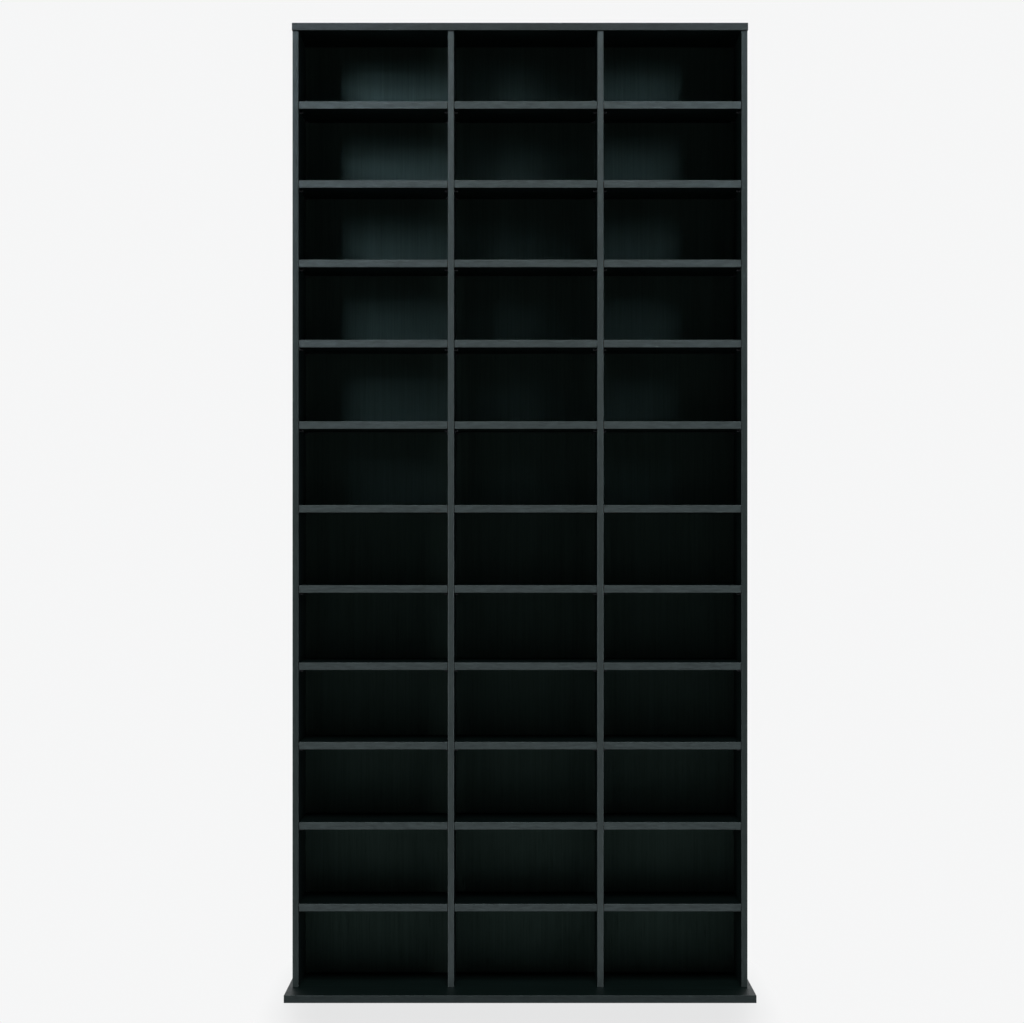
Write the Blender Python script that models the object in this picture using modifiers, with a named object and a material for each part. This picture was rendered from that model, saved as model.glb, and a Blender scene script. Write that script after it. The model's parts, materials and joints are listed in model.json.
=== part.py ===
"""Media shelf: three bays of twelve open compartments between full-height boards.

Metres, +Z up. The open front faces -Y, and the origin lies on the floor under the
middle of the base. A base board carries four uprights, which are screwed to it and to
the top board. Thin backs lie in seats cut along the boards' rear edges. The shelves of
one row are held by cam locks and stiffen the uprights. All other shelves lie loose on
four pins each and pull out to the front.
"""

import math

import bmesh
import bpy
from mathutils import Vector

# Compartments: clear widths from left to right, clear heights from the top down
BAY_WIDTHS = {"left": 0.300, "middle": 0.288, "right": 0.277}
ROW_HEIGHTS = {
    "row_01": 0.1418,
    "row_02": 0.1435,
    "row_03": 0.1445,
    "row_04": 0.1460,
    "row_05": 0.1485,
    "row_06": 0.1530,
    "row_07": 0.1460,
    "row_08": 0.1400,
    "row_09": 0.1445,
    "row_10": 0.1460,
    "row_11": 0.1490,
    "row_12": 0.1522,
}

# Boards
UPRIGHT_THICKNESS = 0.012
SHELF_THICKNESS = 0.015
TOP_THICKNESS = 0.015
BASE_THICKNESS = 0.015
BACK_THICKNESS = 0.003
UPRIGHT_DEPTH = 0.160
BASE_FRONT_OVERHANG = 0.080
BASE_SIDE_OVERHANG = 0.0095
TOP_FRONT_OVERHANG = 0.003
TOP_SIDE_OVERHANG = 0.001
EDGE_RADIUS = 0.001
EDGE_SEGMENTS = 2
EDGE_ROUNDNESS = 0.5

# Play and seats between the boards
FIT_GAP = 0.0003
SHELF_END_PLAY = 0.0008
SHELF_REAR_PLAY = 0.001
SHELF_SETBACK = 0.001
UPRIGHT_REAR_WEB = 0.005

# Shelf pins, which end inside a side board and run right through a divider
PIN_RADIUS = 0.0025
PIN_REACH = 0.007
PIN_SKIN = 0.004
PIN_FROM_FRONT = 0.028
PIN_FROM_REAR = 0.022
PIN_SIDES = 8

# Cam locks of the fixed row, counted from the top, and the bolts that they draw in
FIXED_ROW = 6
CAM_RADIUS = 0.0075
CAM_WALL = 0.0017
CAM_SKIN = 0.0025
CAM_REACH = 0.024
CAM_FROM_FRONT = 0.040
CAM_FROM_REAR = 0.036
CAM_SIDES = 16
CROSS_LENGTH = 0.007
CROSS_WIDTH = 0.0014
CROSS_DEPTH = 0.0016
BOLT_HEIGHT = 0.0075
BOLT_RADIUS = 0.0025
BOLT_HEAD_RADIUS = 0.0035
BOLT_HEAD_LENGTH = 0.003
BOLT_BORE_PLAY = 0.0006
BOLT_SIDES = 8

# Countersunk screws through the top and the base into the uprights' ends
SCREW_RADIUS = 0.0025
SCREW_HEAD_RADIUS = 0.0045
SCREW_HEAD_HEIGHT = 0.003
SCREW_RECESS = 0.0005
SCREW_SEAT = 0.030
SCREW_FROM_EDGE = 0.032
SCREW_SIDES = 8

# How far a cutter runs past the surface that it opens
OVERCUT = 0.005
MERGE_DISTANCE = 0.00001
SMOOTH_ANGLE = math.radians(50)

# Levels, depths and places that the pieces share
SHELF_COUNT = len(ROW_HEIGHTS) - 1
TOP_UNDERSIDE = BASE_THICKNESS + sum(ROW_HEIGHTS.values()) + SHELF_COUNT * SHELF_THICKNESS
TOP_FACE = TOP_UNDERSIDE + TOP_THICKNESS
BODY_WIDTH = 4 * UPRIGHT_THICKNESS + sum(BAY_WIDTHS.values())
REAR = (UPRIGHT_DEPTH + BASE_FRONT_OVERHANG) / 2
UPRIGHT_FRONT = REAR - UPRIGHT_DEPTH
BASE_FRONT = UPRIGHT_FRONT - BASE_FRONT_OVERHANG
BACK_FACE = REAR - BACK_THICKNESS
BACK_LAP = (UPRIGHT_THICKNESS - UPRIGHT_REAR_WEB) / 2 - FIT_GAP
SHELF_FRONT = UPRIGHT_FRONT + SHELF_SETBACK
SHELF_REAR = BACK_FACE - SHELF_REAR_PLAY
CAM_TOP = SHELF_THICKNESS - CAM_SKIN
PIN_PLACES = (SHELF_FRONT + PIN_FROM_FRONT, SHELF_REAR - PIN_FROM_REAR)
CAM_PLACES = {"front": SHELF_FRONT + CAM_FROM_FRONT, "rear": SHELF_REAR - CAM_FROM_REAR}
SCREW_PLACES = (UPRIGHT_FRONT + SCREW_FROM_EDGE, REAR - SCREW_FROM_EDGE)

# Ways that a board's face can look, and ways that a turned piece can lie
FRONT = (0, -1, 0)
LEFT = (-1, 0, 0)
RIGHT = (1, 0, 0)
UPRIGHT = (0.0, 0.0, 0.0)
UPSIDE_DOWN = (math.pi, 0.0, 0.0)
LYING_ACROSS = (0.0, math.pi / 2, 0.0)


def across():
    """Returns the uprights' and the bays' spans along X, from left to right."""
    x = -BODY_WIDTH / 2
    uprights = {"side_left": (x, x + UPRIGHT_THICKNESS)}
    bays = {}
    x += UPRIGHT_THICKNESS
    next_uprights = ("divider_left", "divider_right", "side_right")
    for (bay, width), upright in zip(BAY_WIDTHS.items(), next_uprights):
        bays[bay] = (x, x + width)
        x += width
        uprights[upright] = (x, x + UPRIGHT_THICKNESS)
        x += UPRIGHT_THICKNESS
    return uprights, bays


def shelf_undersides():
    """Returns the height of each shelf's underside, from the top down."""
    levels = []
    z = TOP_UNDERSIDE
    for height in list(ROW_HEIGHTS.values())[:-1]:
        z -= height + SHELF_THICKNESS
        levels.append(z)
    return levels


def clear_scene():
    """Removes whatever the scene holds."""
    for obj in list(bpy.data.objects):
        bpy.data.objects.remove(obj, do_unlink=True)


def make_collection(name):
    """Adds an empty collection to the scene."""
    collection = bpy.data.collections.new(name)
    bpy.context.scene.collection.children.link(collection)
    return collection


def make_material(name, colour, roughness, metallic):
    """Makes a plain surface of one colour."""
    material = bpy.data.materials.new(name)
    material.use_nodes = True
    material.diffuse_color = (*colour, 1.0)
    shader = material.node_tree.nodes["Principled BSDF"]
    shader.inputs["Base Color"].default_value = (*colour, 1.0)
    shader.inputs["Roughness"].default_value = roughness
    shader.inputs["Metallic"].default_value = metallic
    return material


def box_mesh(name, size, eased):
    """Returns a box's mesh, with the borders of the faces that look an eased way rounded."""
    bm = bmesh.new()
    bmesh.ops.create_cube(bm, size=1.0)
    borders = {edge for face in bm.faces for edge in face.edges
               if any(face.normal.angle(Vector(way)) < SMOOTH_ANGLE for way in eased)}
    bmesh.ops.scale(bm, vec=size, verts=bm.verts)
    if borders:
        bmesh.ops.bevel(bm, geom=list(borders), offset=EDGE_RADIUS, segments=EDGE_SEGMENTS,
                        profile=EDGE_ROUNDNESS, affect="EDGES", clamp_overlap=True)
    mesh = bpy.data.meshes.new(name)
    bm.to_mesh(mesh)
    bm.free()
    return mesh


def rod_mesh(name, radius, length, sides):
    """Returns a rod's mesh along Z, with flats towards X and Y."""
    bm = bmesh.new()
    bmesh.ops.create_cone(bm, cap_ends=True, segments=sides, radius1=radius,
                          radius2=radius, depth=length)
    for vert in bm.verts:
        angle = math.atan2(vert.co.y, vert.co.x) + math.pi / sides
        vert.co.x = radius * math.cos(angle)
        vert.co.y = radius * math.sin(angle)
    mesh = bpy.data.meshes.new(name)
    bm.to_mesh(mesh)
    bm.free()
    mesh.shade_smooth()
    mesh.set_sharp_from_angle(angle=SMOOTH_ANGLE)
    return mesh


def outline_mesh(name, profile, sides):
    """Returns a turned piece's outline, from (radius, height) points, top to bottom."""
    bm = bmesh.new()
    start = math.pi / sides
    verts = [bm.verts.new((radius * math.cos(start), radius * math.sin(start), height))
             for radius, height in profile]
    for pair in zip(verts, verts[1:]):
        bm.edges.new(pair)
    mesh = bpy.data.meshes.new(name)
    bm.to_mesh(mesh)
    bm.free()
    return mesh


def turn_outline(obj, sides):
    """Turns an object's outline once round its Z axis."""
    turning = obj.modifiers.new("turning", "SCREW")
    turning.axis = "Z"
    turning.angle = 2 * math.pi
    turning.steps = sides
    turning.render_steps = sides
    turning.use_merge_vertices = True
    turning.merge_threshold = MERGE_DISTANCE


def combine(obj, operation, others):
    """Cuts the other collection's shapes out of the object, or joins them to it."""
    boolean = obj.modifiers.new(operation.lower(), "BOOLEAN")
    boolean.operation = operation
    boolean.operand_type = "COLLECTION"
    boolean.collection = others
    boolean.solver = "EXACT"


def add_shape(name, mesh, place, lie, collection):
    """Adds a shape that only cuts or joins, and isn't itself a piece."""
    shape = bpy.data.objects.new(name, mesh)
    shape.location = place
    shape.rotation_euler = lie
    shape.display_type = "WIRE"
    shape.hide_render = True
    collection.objects.link(shape)
    return shape


def add_box_shape(name, low, high, collection):
    """Adds a box that only cuts."""
    mesh = box_mesh(name, Vector(high) - Vector(low), ())
    return add_shape(name, mesh, (Vector(low) + Vector(high)) / 2, UPRIGHT, collection)


def add_rod_shape(name, radius, length, sides, place, lie, collection):
    """Adds a rod that only cuts or joins, centred on its place."""
    return add_shape(name, rod_mesh(name, radius, length, sides), place, lie, collection)


def add_turned_shape(name, profile, sides, place, lie, collection):
    """Adds a turned piece that only cuts or joins."""
    shape = add_shape(name, outline_mesh(name, profile, sides), place, lie, collection)
    turn_outline(shape, sides)
    return shape


def add_piece(name, mesh, place, material, model):
    """Adds a piece of the shelf to the model."""
    mesh.materials.append(model[material])
    piece = bpy.data.objects.new(name, mesh)
    piece.location = place
    piece.parent = model["root"]
    model["parts"].objects.link(piece)
    return piece


def add_board(name, low, high, material, model, eased=(FRONT,)):
    """Adds a board between two corners, its origin at its middle."""
    low = Vector(low)
    high = Vector(high)
    return add_piece(name, box_mesh(name, high - low, eased), (low + high) / 2, material, model)


def make_back_seats(bays):
    """Returns a cutter for each back's seat, larger than the back by the fit gap."""
    seats = make_collection("back_seats")
    reach = BACK_LAP + FIT_GAP
    for bay, (left, right) in bays.items():
        add_box_shape("seat_of_back_" + bay,
                      (left - reach, BACK_FACE - FIT_GAP, BASE_THICKNESS - reach),
                      (right + reach, REAR + OVERCUT, TOP_UNDERSIDE + reach), seats)
    return seats


def screw_profile(board_thickness, play, above):
    """Returns a countersunk screw's outline, with its head's top at the height 0."""
    end = SCREW_RECESS - board_thickness - SCREW_SEAT
    return (
        (0.0, above),
        (SCREW_HEAD_RADIUS + play, above),
        (SCREW_HEAD_RADIUS + play, 0.0),
        (SCREW_RADIUS + play, -SCREW_HEAD_HEIGHT),
        (SCREW_RADIUS + play, end),
        (0.0, end),
    )


def join_screws(upright, middle, joined, holes):
    """Joins an upright's screws to it, and adds their holes in the top and the base."""
    ends = (
        ("top", TOP_THICKNESS, TOP_FACE - SCREW_RECESS, UPRIGHT),
        ("base", BASE_THICKNESS, SCREW_RECESS, UPSIDE_DOWN),
    )
    for end, thickness, height, lie in ends:
        solid = screw_profile(thickness, 0.0, 0.0)
        hollow = screw_profile(thickness, FIT_GAP, OVERCUT)
        for number, y in enumerate(SCREW_PLACES, 1):
            label = f"{upright}_{end}_{number}"
            place = (middle, y, height)
            add_turned_shape("screw_" + label, solid, SCREW_SIDES, place, lie, joined)
            add_turned_shape("hole_" + label, hollow, SCREW_SIDES, place, lie, holes[end])


def join_pins(upright, low, high, levels, joined):
    """Joins to an upright the pins that carry the loose shelves beside it."""
    flat = PIN_RADIUS * math.cos(math.pi / PIN_SIDES)
    for row, underside in enumerate(levels, 1):
        if row == FIXED_ROW:
            continue
        for number, y in enumerate(PIN_PLACES, 1):
            place = ((low + high) / 2, y, underside - FIT_GAP - flat)
            add_rod_shape(f"pin_{upright}_{row:02d}_{number}", PIN_RADIUS, high - low,
                          PIN_SIDES, place, LYING_ACROSS, joined)


def join_bolts(upright, low, high, headed, levels, joined):
    """Joins to an upright the bolts that reach into the fixed shelves beside it."""
    half = (high - low) / 2
    neck = half - BOLT_HEAD_LENGTH
    head = [(BOLT_HEAD_RADIUS, half), (BOLT_HEAD_RADIUS, neck), (BOLT_RADIUS, neck)]
    plain = [(BOLT_RADIUS, half)]
    upper = head if RIGHT in headed else plain
    lower = head if LEFT in headed else plain
    profile = [(0.0, half), *upper, *[(r, -h) for r, h in reversed(lower)], (0.0, -half)]
    height = levels[FIXED_ROW - 1] + BOLT_HEIGHT
    for spot, y in CAM_PLACES.items():
        add_turned_shape(f"bolt_{upright}_{spot}", profile, BOLT_SIDES,
                         ((low + high) / 2, y, height), LYING_ACROSS, joined)


def make_uprights(uprights, levels, seats, holes, model):
    """Adds the four uprights, each with its own pins, bolts and screws."""
    bolt_reach = SHELF_END_PLAY + CAM_REACH + BOLT_HEAD_LENGTH / 2
    bay_ways = {"side_left": (RIGHT,), "side_right": (LEFT,)}
    for name, (left, right) in uprights.items():
        upright = add_board(name, (left, UPRIGHT_FRONT, BASE_THICKNESS + FIT_GAP),
                            (right, REAR, TOP_UNDERSIDE - FIT_GAP), "board", model)
        combine(upright, "DIFFERENCE", seats)
        joined = make_collection("joined_to_" + name)
        ways = bay_ways.get(name, (LEFT, RIGHT))
        low_reach, low_bolt = (PIN_REACH, bolt_reach) if LEFT in ways else (-PIN_SKIN, -PIN_SKIN)
        high_reach, high_bolt = (PIN_REACH, bolt_reach) if RIGHT in ways else (-PIN_SKIN, -PIN_SKIN)
        join_pins(name, left - low_reach, right + high_reach, levels, joined)
        join_bolts(name, left - low_bolt, right + high_bolt, ways, levels, joined)
        join_screws(name, (left + right) / 2, joined, holes)
        combine(upright, "UNION", joined)


def make_top_and_base(seats, holes, model):
    """Adds the top board, and the base board that reaches out in front."""
    top_half = BODY_WIDTH / 2 + TOP_SIDE_OVERHANG
    base_half = BODY_WIDTH / 2 + BASE_SIDE_OVERHANG
    top = add_board("top_panel", (-top_half, UPRIGHT_FRONT - TOP_FRONT_OVERHANG, TOP_UNDERSIDE),
                    (top_half, REAR, TOP_FACE), "board", model, (FRONT, LEFT, RIGHT))
    base = add_board("base_panel", (-base_half, BASE_FRONT, 0.0),
                     (base_half, REAR, BASE_THICKNESS), "board", model, (FRONT, LEFT, RIGHT))
    for board, board_holes in ((top, holes["top"]), (base, holes["base"])):
        combine(board, "DIFFERENCE", seats)
        combine(board, "DIFFERENCE", board_holes)


def make_backs(bays, model):
    """Adds the thin back of each bay, flush with the boards' rear edges."""
    for bay, (left, right) in bays.items():
        add_board("back_" + bay, (left - BACK_LAP, BACK_FACE, BASE_THICKNESS - BACK_LAP),
                  (right + BACK_LAP, REAR, TOP_UNDERSIDE + BACK_LAP), "back", model, ())


def make_cam(label, x, y, underside, toward, model):
    """Adds a cam lock: a slotted cup round the bolt's head, with a cross to turn it."""
    name = "cam_" + label
    outer = CAM_RADIUS - FIT_GAP
    bottom = underside + FIT_GAP
    top = underside + CAM_TOP - FIT_GAP
    mesh = rod_mesh(name, outer, top - bottom, CAM_SIDES)
    cam = add_piece(name, mesh, (x, y, (bottom + top) / 2), "metal", model)
    cuts = make_collection("cuts_in_" + name)

    # The cup's hollow and the slot for the bolt's neck, both open at the top
    roof = top + OVERCUT
    floor = underside + BOLT_HEIGHT - BOLT_HEAD_RADIUS - FIT_GAP
    add_rod_shape("hollow_" + label, outer - CAM_WALL, roof - floor, CAM_SIDES,
                  (x, y, (floor + roof) / 2), UPRIGHT, cuts)
    half_slot = BOLT_RADIUS + FIT_GAP
    past_rim = x + toward * (outer + OVERCUT)
    add_box_shape("slot_" + label,
                  (min(x, past_rim), y - half_slot, underside + BOLT_HEIGHT - half_slot),
                  (max(x, past_rim), y + half_slot, roof), cuts)

    # The cross that a screwdriver turns
    arms = (("long", CROSS_LENGTH / 2, CROSS_WIDTH / 2), ("cross", CROSS_WIDTH / 2, CROSS_LENGTH / 2))
    for arm, half_x, half_y in arms:
        add_box_shape(f"{arm}_arm_{label}", (x - half_x, y - half_y, underside - OVERCUT),
                      (x + half_x, y + half_y, bottom + CROSS_DEPTH), cuts)
    combine(cam, "DIFFERENCE", cuts)


def fix_shelf(shelf, bay, left, right, underside, model):
    """Bores a fixed shelf for its bolts, cuts its cam seats and adds the cams in them."""
    seats = make_collection("cuts_in_" + shelf.name)
    bore_length = CAM_REACH + BOLT_HEAD_LENGTH + OVERCUT
    for end, face, inward in (("left", left, 1), ("right", right, -1)):
        cam_x = face + inward * CAM_REACH
        bore_x = face + inward * (bore_length / 2 - OVERCUT)
        for spot, y in CAM_PLACES.items():
            label = f"{bay}_{end}_{spot}"
            add_rod_shape("seat_" + label, CAM_RADIUS, CAM_TOP + OVERCUT, CAM_SIDES,
                          (cam_x, y, underside + (CAM_TOP - OVERCUT) / 2), UPRIGHT, seats)
            add_rod_shape("bore_" + label, BOLT_HEAD_RADIUS + BOLT_BORE_PLAY, bore_length,
                          BOLT_SIDES, (bore_x, y, underside + BOLT_HEIGHT), LYING_ACROSS, seats)
            make_cam(label, cam_x, y, underside, -inward, model)
    combine(shelf, "DIFFERENCE", seats)


def make_shelves(bays, levels, model):
    """Adds the shelves, and the cam locks that hold the fixed row."""
    for bay, (bay_left, bay_right) in bays.items():
        left = bay_left + SHELF_END_PLAY
        right = bay_right - SHELF_END_PLAY
        for row, underside in enumerate(levels, 1):
            shelf = add_board(f"shelf_{bay}_{row:02d}", (left, SHELF_FRONT, underside),
                              (right, SHELF_REAR, underside + SHELF_THICKNESS), "board", model)
            if row == FIXED_ROW:
                fix_shelf(shelf, bay, left, right, underside, model)


def main():
    """Builds the whole media shelf."""
    clear_scene()
    parts = make_collection("media_shelf")
    root = bpy.data.objects.new("media_shelf_origin", None)
    parts.objects.link(root)
    model = {
        "parts": parts,
        "root": root,
        "board": make_material("black_board", (0.012, 0.012, 0.014), 0.42, 0.0),
        "back": make_material("black_back", (0.010, 0.010, 0.011), 0.55, 0.0),
        "metal": make_material("cam_zinc", (0.55, 0.55, 0.54), 0.35, 1.0),
    }
    uprights, bays = across()
    levels = shelf_undersides()
    seats = make_back_seats(bays)
    holes = {end: make_collection(f"screw_holes_in_{end}") for end in ("top", "base")}
    make_uprights(uprights, levels, seats, holes, model)
    make_top_and_base(seats, holes, model)
    make_backs(bays, model)
    make_shelves(bays, levels, model)


main()
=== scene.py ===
"""Looks of the media shelf: boards with their edge strips and faces, backs, and hardware.

Metres, +Z up, the open front towards -Y. Each board of the frame is replaced by a core
with grained faces and raw hidden edges, and strips are glued to its visible edges. A back
is grained in front and raw behind. The shelf pins, cam locks, bolts, screws and nails are
pieces of their own.
"""

import json
import math

import bmesh
import bpy
from mathutils import Matrix, Vector

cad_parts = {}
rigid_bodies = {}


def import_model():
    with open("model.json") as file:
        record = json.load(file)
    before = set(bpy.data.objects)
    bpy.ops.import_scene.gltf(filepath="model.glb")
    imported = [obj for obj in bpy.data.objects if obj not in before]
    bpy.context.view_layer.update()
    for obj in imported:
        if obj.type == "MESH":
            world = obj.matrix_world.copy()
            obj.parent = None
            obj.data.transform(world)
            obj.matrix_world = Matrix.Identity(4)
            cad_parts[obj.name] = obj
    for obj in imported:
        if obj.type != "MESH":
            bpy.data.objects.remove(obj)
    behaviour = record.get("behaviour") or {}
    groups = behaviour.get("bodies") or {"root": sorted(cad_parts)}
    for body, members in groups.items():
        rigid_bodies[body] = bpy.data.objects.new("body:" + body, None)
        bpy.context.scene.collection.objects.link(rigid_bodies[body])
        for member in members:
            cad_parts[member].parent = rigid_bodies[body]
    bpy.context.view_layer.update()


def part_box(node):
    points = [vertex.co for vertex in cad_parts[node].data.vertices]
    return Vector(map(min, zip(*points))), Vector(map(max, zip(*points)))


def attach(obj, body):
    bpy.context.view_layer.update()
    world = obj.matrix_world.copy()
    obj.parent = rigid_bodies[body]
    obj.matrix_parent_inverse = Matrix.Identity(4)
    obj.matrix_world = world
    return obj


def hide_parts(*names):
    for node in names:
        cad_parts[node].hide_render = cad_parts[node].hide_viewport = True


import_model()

# Boards, as the solids have them
UPRIGHT_THICKNESS = 0.012
BOARD_THICKNESS = 0.015
TOP_FRONT_OVERHANG = 0.003
FIT_GAP = 0.0003
SEAT_REACH = 0.0035
SHELF_END_PLAY = 0.0008
SHELF_COUNT = 11
FIXED_ROW = 6

# Edge strips, and the easing of the boards
STRIP_THICKNESS = 0.0009
STRIP_GLUE = 0.0001
STRIP_RADIUS = 0.0008
STRIP_SEGMENTS = 4
CORE_EASE = 0.0002
ROUND_PROFILE = 0.5
BACK_INSET = 0.0002

# Shelf pins
PIN_RADIUS = 0.0025
PIN_REACH = 0.007
PIN_SKIN = 0.004
PIN_ROUND = 0.0008
PIN_ROUND_STEPS = 4
PIN_FROM_FRONT = 0.028
PIN_FROM_REAR = 0.022
PIN_DROP = 0.00261
COLLAR_RADIUS = 0.0034
COLLAR_THICKNESS = 0.0005
COLLAR_RIM = 0.0002
PIN_SIDES = 32

# Cam locks and their bolts
CAM_RADIUS = 0.0075
CAM_WALL = 0.0017
CAM_HEIGHT = 0.0125
CAM_REACH = 0.024
CAM_FROM_FRONT = 0.040
CAM_FROM_REAR = 0.036
CAM_RIM = 0.0005
CAM_SIDES = 48
CROSS_LENGTH = 0.007
CROSS_WIDTH = 0.0014
CROSS_DEPTH = 0.0016
CROSS_TAPER = 0.75
BOLT_HEIGHT = 0.0075
BOLT_RADIUS = 0.0025
BOLT_HEAD_RADIUS = 0.0035
BOLT_HEAD_LENGTH = 0.003
BOLT_HEAD_RIM = 0.0004
BOLT_BORE_PLAY = 0.0006
BOLT_SIDES = 24

# Screws through the top and the base
SCREW_RADIUS = 0.0025
SCREW_HEAD_RADIUS = 0.0045
SCREW_HEAD_HEIGHT = 0.003
SCREW_RECESS = 0.0005
SCREW_RIM = 0.0002
SCREW_SEAT = 0.030
SCREW_END = SCREW_RECESS - BOARD_THICKNESS - SCREW_SEAT
SCREW_FROM_EDGE = 0.032
SCREW_CROSS_LENGTH = 0.0052
SCREW_CROSS_WIDTH = 0.0011
SCREW_CROSS_DEPTH = 0.0018
SCREW_SIDES = 32

# Nails in the backs, with their heads' crowns as shares of the radius and the height
NAIL_RADIUS = 0.0016
NAIL_CROWN_RADIUS = 0.6
NAIL_CROWN_HEIGHT = 0.9
NAIL_RIM_HEIGHT = 0.2
NAIL_FROM_EDGE = 0.0018
NAIL_SPACING = 0.120
NAIL_SIDES = 12

# How far a cutter runs past a surface, how squarely a face has to look a way to count, and
# the angle up to which an edge is shaded smooth
OVERCUT = 0.005
FACING = 0.9
SMOOTH_ANGLE = math.radians(38)

# Patterns: waves a metre along and across the grain, detail, roughness, distortion, shift
NO_SHIFT = (0.0, 0.0, 0.0)
FACE_STREAKS = (3.0, 230.0, 4.0, 0.6, 0.3, NO_SHIFT)
FACE_BANDS = (1.2, 34.0, 2.0, 0.5, 0.6, (3.1, 1.7, 5.3))
FACE_PORES = (22.0, 900.0, 2.0, 0.5, 0.0, (7.0, 2.0, 4.0))
FACE_WEAR = (6.0, 6.0, 3.0, 0.6, 0.4, (1.3, 4.1, 2.2))
STRIP_STREAKS = (38.0, 420.0, 3.0, 0.6, 0.3, NO_SHIFT)
STRIP_MOTTLE = (60.0, 240.0, 3.0, 0.6, 0.2, (2.0, 6.0, 1.0))
CHIPBOARD_GRIT = (1500.0, 1500.0, 3.0, 0.55, 0.0, NO_SHIFT)
HARDBOARD_FIBRE = (420.0, 420.0, 5.0, 0.7, 0.8, NO_SHIFT)
HARDBOARD_CLOUDS = (9.0, 9.0, 3.0, 0.5, 0.0, (4.0, 0.0, 2.0))
METAL_GRAIN = (4.0, 0.6, 0.2, NO_SHIFT)

# The range that most of a pattern's values lie in
MIDDLE_VALUES = (0.3, 0.7)

# Printed faces: grain, pores, wear and relief, then each face's grain axis, colour, tint,
# specular level and roughness. The base's face is the same black as the others but paler,
# painted light on the base's top.
FACE_STREAKS_SHARE = 0.7
FACE_TONES = (0.34, 0.66)
FACE_CONTRAST = 0.35
FACE_POLISH_VALUES = (0.35, 0.65)
FACE_POLISH = 0.045
PORE_VALUES = (0.56, 0.70)
PORE_DARKNESS = 0.12
PORE_DULLNESS = 0.10
WEAR_VALUES = (0.35, 0.70, -0.02, 0.03)
STREAK_RELIEF_SHARE = 0.5
FACE_RELIEF = 0.00008
FACE_COLOUR = (0.0017, 0.0038, 0.0033)
FACE_TINT = (0.58, 0.90, 1.0)
FACES = {
    "upright": ("Z", FACE_COLOUR, FACE_TINT, 0.22, 0.44),
    "level": ("X", FACE_COLOUR, FACE_TINT, 0.22, 0.44),
    "base": ("X", (0.0028, 0.0066, 0.0056), FACE_TINT, 0.22, 0.44),
    "back": ("Z", (0.0205, 0.0310, 0.0270), (0.60, 1.0, 0.88), 0.90, 0.50),
}

# Edge strips: grain and relief, then each strip's grain axis, colour, specular level and
# roughness. The strips are all one grey edging: the side, divider, top and base strips get
# darker colours than the shelf strips, painted shade for how the light falls on each.
STRIP_TINT = (0.80, 0.95, 1.0)
STRIP_STREAKS_SHARE = 0.4
STRIP_TONES = (0.36, 0.64)
STRIP_CONTRAST = 0.26
STRIP_POLISH = 0.05
STRIP_RELIEF = 0.00004
STRIPS = {
    "shelf": ("X", (0.047, 0.060, 0.061), 0.25, 0.50),
    "side": ("Z", (0.021, 0.029, 0.028), 0.5, 0.45),
    "divider": ("Z", (0.0335, 0.0435, 0.0435), 0.9, 0.42),
    "top": ("X", (0.022, 0.027, 0.027), 0.35, 0.50),
    "base": ("X", (0.019, 0.026, 0.026), 0.35, 0.50),
}

# Raw particle board and raw hardboard
CHIPS_A_METRE = 650.0
CHIPBOARD_SPECULAR = 0.2
CHIPS_SHARE = 0.6
CHIPBOARD_COLOURS = ((0.12, (0.085, 0.050, 0.026)), (0.35, (0.235, 0.150, 0.083)),
                     (0.70, (0.330, 0.225, 0.132)), (0.92, (0.430, 0.315, 0.200)))
CHIPBOARD_ROUGHNESS = (0.78, 0.92)
CHIPBOARD_RELIEF = 0.0003
HARDBOARD_SPECULAR = 0.25
FIBRE_SHARE = 0.6
HARDBOARD_COLOURS = ((0.30, (0.120, 0.070, 0.038)), (0.50, (0.190, 0.115, 0.064)),
                     (0.72, (0.260, 0.168, 0.100)))
HARDBOARD_ROUGHNESS = (0.62, 0.78)
HARDBOARD_RELIEF = 0.0001

# Metals: relief, then each metal's name, dark and pale tone, roughness, its spread, and waves
# a metre
METAL_RELIEF = 0.00002
METALS = {
    "pin": ("black_plate", (0.040, 0.042, 0.046), (0.075, 0.078, 0.084), 0.42, 0.06, 900.0),
    "bolt": ("nickel_plate", (0.56, 0.54, 0.50), (0.68, 0.66, 0.62), 0.26, 0.05, 900.0),
    "zinc": ("cast_zinc", (0.42, 0.43, 0.44), (0.58, 0.59, 0.60), 0.45, 0.08, 1200.0),
    "screw": ("black_zinc", (0.030, 0.030, 0.034), (0.055, 0.055, 0.060), 0.34, 0.06, 1100.0),
    "nail": ("bright_steel", (0.42, 0.41, 0.40), (0.56, 0.55, 0.53), 0.36, 0.06, 1300.0),
}

# Floor and surroundings. In a rounded rectangle of these half sizes round the object, the
# floor's white glow drops to a share and its own dark shading, with the object's real shadow,
# makes up the rest: a painted soft shadow round the object. Outside it fades to plain white.
WHITE = (0.920, 0.923, 0.926, 1.0)
FLOOR_SIZE = 60.0
FLOOR_DROP = 0.0002
FLOOR_COLOUR = (0.12, 0.12, 0.12, 1.0)
FLOOR_SPECULAR = 0.5
FLOOR_ROUGHNESS = 0.35
FLOOR_PAINTED_SHADE_HALF = (0.46, 0.50)
FLOOR_FADE = (0.5, 1.6)
FLOOR_GLOW_SHARE = 0.83
FLOOR_MIRRORED_FADE = (-1.5, -0.4)
FLOOR_MIRRORED_SHARE = 0.45
WORLD_TURN = (-0.05, 0.55)
DIM_FRONT = (0.09, 0.09, 0.09)
DIM_REAR = (0.50, 0.50, 0.50)
MIRRORED_FRONT = (0.01, 0.01, 0.01)
MIRRORED_REAR = (0.85, 0.86, 0.87)

# Sockets of a colour mix, whose names aren't unique
MIX_FIRST = 6
MIX_SECOND = 7
MIX_RESULT = 2

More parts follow.
